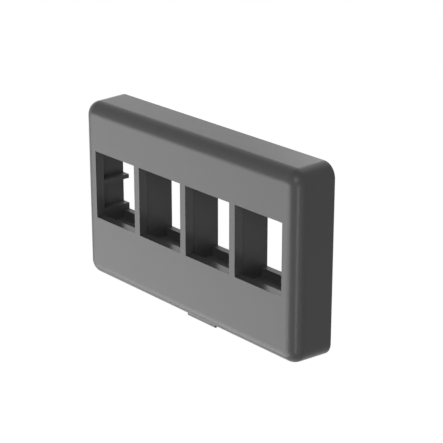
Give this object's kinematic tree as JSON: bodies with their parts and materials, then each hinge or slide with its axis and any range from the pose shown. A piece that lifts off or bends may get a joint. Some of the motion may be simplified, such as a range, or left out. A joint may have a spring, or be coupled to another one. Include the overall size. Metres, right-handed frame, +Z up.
{
  "type": "keystone faceplate",
  "caption": "Grey moulded faceplate with a row of square openings for keystone jacks, which snaps into a furniture opening.",
  "frame": {"origin": "middle of the plane that the rim touches, which is the middle of the furniture opening", "axes": "+X along the row of ports, +Y out of the back towards the furniture, +Z up; the front faces -Y"},
  "size_m": [0.0748, 0.0154, 0.0463],
  "materials": {
    "moulded_plastic": "fine matt moulded texture, dark neutral grey"
  },
  "bodies": {
    "root": {"faceplate": "moulded_plastic"}
  },
  "joints": []
}
